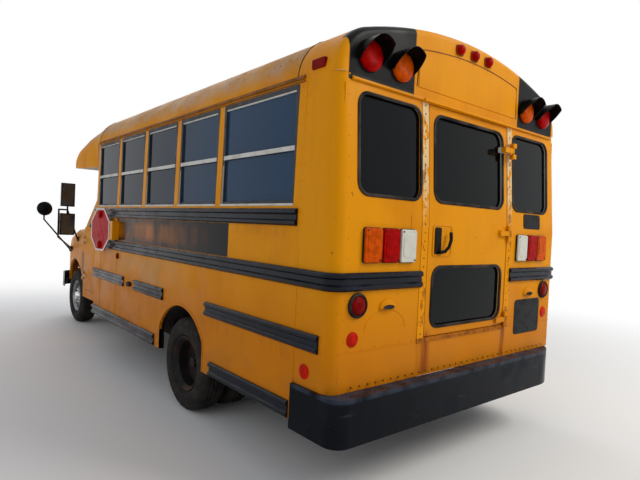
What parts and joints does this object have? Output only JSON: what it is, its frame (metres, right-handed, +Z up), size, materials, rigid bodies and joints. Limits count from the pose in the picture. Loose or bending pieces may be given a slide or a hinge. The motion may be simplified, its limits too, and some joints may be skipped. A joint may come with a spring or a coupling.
{
  "type": "short school bus",
  "caption": "Short school bus on a cutaway van chassis, with opening doors, hood and stop arm, steered front wheels and twin rear wheels.",
  "frame": {"origin": "on the ground below the middle of the bus", "axes": "+X forward, +Y to the left of the bus, +Z up"},
  "size_m": [6.8, 2.786, 2.805],
  "materials": {
    "body_paint": "weathered gloss school-bus yellow",
    "roof_paint": "faded and dusty",
    "rail_black": "satin black",
    "bumper_black": "scuffed satin black",
    "glass_dark": "dark tinted",
    "frame_metal": "dull mill finish",
    "chassis_steel": "dusty black",
    "engine_mass": "rough",
    "axle_steel": "dusty",
    "wheel_steel": "worn silver",
    "tyre_rubber": "dusty rubber",
    "lens": "ribbed lens",
    "black_plastic": "grained",
    "sign_red": "reflective red with white border",
    "floor_mat": "ribbed",
    "seat_vinyl": "dark vinyl",
    "exhaust_metal": "rusty"
  },
  "bodies": {
    "bus": {"chassis_frame": "chassis_steel", "engine": "engine_mass", "rear_axle": "axle_steel", "front_suspension": "axle_steel", "exhaust": "exhaust_metal", "fuel_tank": "chassis_steel", "rear_bumper": "bumper_black", "front_bumper": "bumper_black", "left_wall": "body_paint", "right_wall": "body_paint", "rear_wall": "body_paint", "roof": "roof_paint", "rear_cap": "body_paint", "front_wall": "body_paint", "front_cap": "body_paint", "floor": "floor_mat", "window_frames": "frame_metal", "body_glass": "glass_dark", "rub_rails": "rail_black", "lamps": "lens", "fittings": "black_plastic", "mirrors": "black_plastic", "cab_shell": "body_paint", "nose_panels": "body_paint", "grille": "black_plastic", "dashboard": "black_plastic", "seats": "seat_vinyl"},
    "knuckle_left": {"knuckle_left": "axle_steel"},
    "knuckle_right": {"knuckle_right": "axle_steel"},
    "front_wheel_left": {"front_wheel_left": "wheel_steel", "front_tyre_left": "tyre_rubber"},
    "front_wheel_right": {"front_wheel_right": "wheel_steel", "front_tyre_right": "tyre_rubber"},
    "rear_wheels_left": {"rear_wheels_left": "wheel_steel", "rear_tyres_left": "tyre_rubber"},
    "rear_wheels_right": {"rear_wheels_right": "wheel_steel", "rear_tyres_right": "tyre_rubber"},
    "rear_door": {"rear_door": "body_paint", "rear_door_glass": "glass_dark"},
    "driver_door": {"driver_door": "body_paint", "driver_door_glass": "glass_dark"},
    "entry_leaf_front": {"entry_leaf_front": "body_paint", "entry_glass_front": "glass_dark"},
    "entry_leaf_rear": {"entry_leaf_rear": "body_paint", "entry_glass_rear": "glass_dark"},
    "hood": {"hood": "body_paint"},
    "stop_arm": {"stop_arm": "sign_red"},
    "steering_wheel": {"steering_wheel": "black_plastic"}
  },
  "joints": [
    {"name": "rear_left_spin", "type": "hinge", "parent": "bus", "child": "rear_wheels_left", "pos_m": [-1.489, 1, 0.372], "axis": [0, 1, 0], "continuous": true},
    {"name": "rear_right_spin", "type": "hinge", "parent": "bus", "child": "rear_wheels_right", "pos_m": [-1.489, -1, 0.372], "axis": [0, 1, 0], "continuous": true},
    {"name": "steer_left", "type": "hinge", "parent": "bus", "child": "knuckle_left", "pos_m": [2.55, 0.735, 0.372], "axis": [0, 0, 1], "range_deg": [-35, 35]},
    {"name": "steer_right", "type": "hinge", "parent": "bus", "child": "knuckle_right", "pos_m": [2.55, -0.735, 0.372], "axis": [0, 0, 1], "range_deg": [-35, 35]},
    {"name": "front_left_spin", "type": "hinge", "parent": "knuckle_left", "child": "front_wheel_left", "pos_m": [2.55, 0.9, 0.372], "axis": [0, 1, 0], "continuous": true},
    {"name": "front_right_spin", "type": "hinge", "parent": "knuckle_right", "child": "front_wheel_right", "pos_m": [2.55, -0.9, 0.372], "axis": [0, 1, 0], "continuous": true},
    {"name": "rear_door_hinge", "type": "hinge", "parent": "bus", "child": "rear_door", "pos_m": [-3.326, -0.453, 1.5], "axis": [0, 0, 1], "range_deg": [0, 110]},
    {"name": "driver_door_hinge", "type": "hinge", "parent": "bus", "child": "driver_door", "pos_m": [2.058, 1.022, 1], "axis": [0, 0, -1], "range_deg": [0, 65]},
    {"name": "entry_front_hinge", "type": "hinge", "parent": "bus", "child": "entry_leaf_front", "pos_m": [1.767, -1.022, 1.2], "axis": [0, 0, 1], "range_deg": [0, 88]},
    {"name": "entry_rear_hinge", "type": "hinge", "parent": "bus", "child": "entry_leaf_rear", "pos_m": [1.053, -1.022, 1.2], "axis": [0, 0, -1], "range_deg": [0, 88]},
    {"name": "hood_hinge", "type": "hinge", "parent": "bus", "child": "hood", "pos_m": [2.367, 0, 1.36549], "axis": [0, -1, 0], "range_deg": [0, 55]},
    {"name": "stop_arm_hinge", "type": "hinge", "parent": "bus", "child": "stop_arm", "pos_m": [0.152, 1.267, 1.39], "axis": [0, 0, 1], "range_deg": [0, 82]},
    {"name": "steering_wheel_turn", "type": "hinge", "parent": "bus", "child": "steering_wheel", "pos_m": [1.7, 0.43, 1.31], "axis": [-0.8601, 0, 0.5101], "range_deg": [-540, 540]}
  ],
  "couplings": [
    {"joint": "steer_right", "follows": "steer_left", "ratio": 1},
    {"joint": "steering_wheel_turn", "follows": "steer_left", "ratio": 15},
    {"joint": "entry_rear_hinge", "follows": "entry_front_hinge", "ratio": 1}
  ]
}
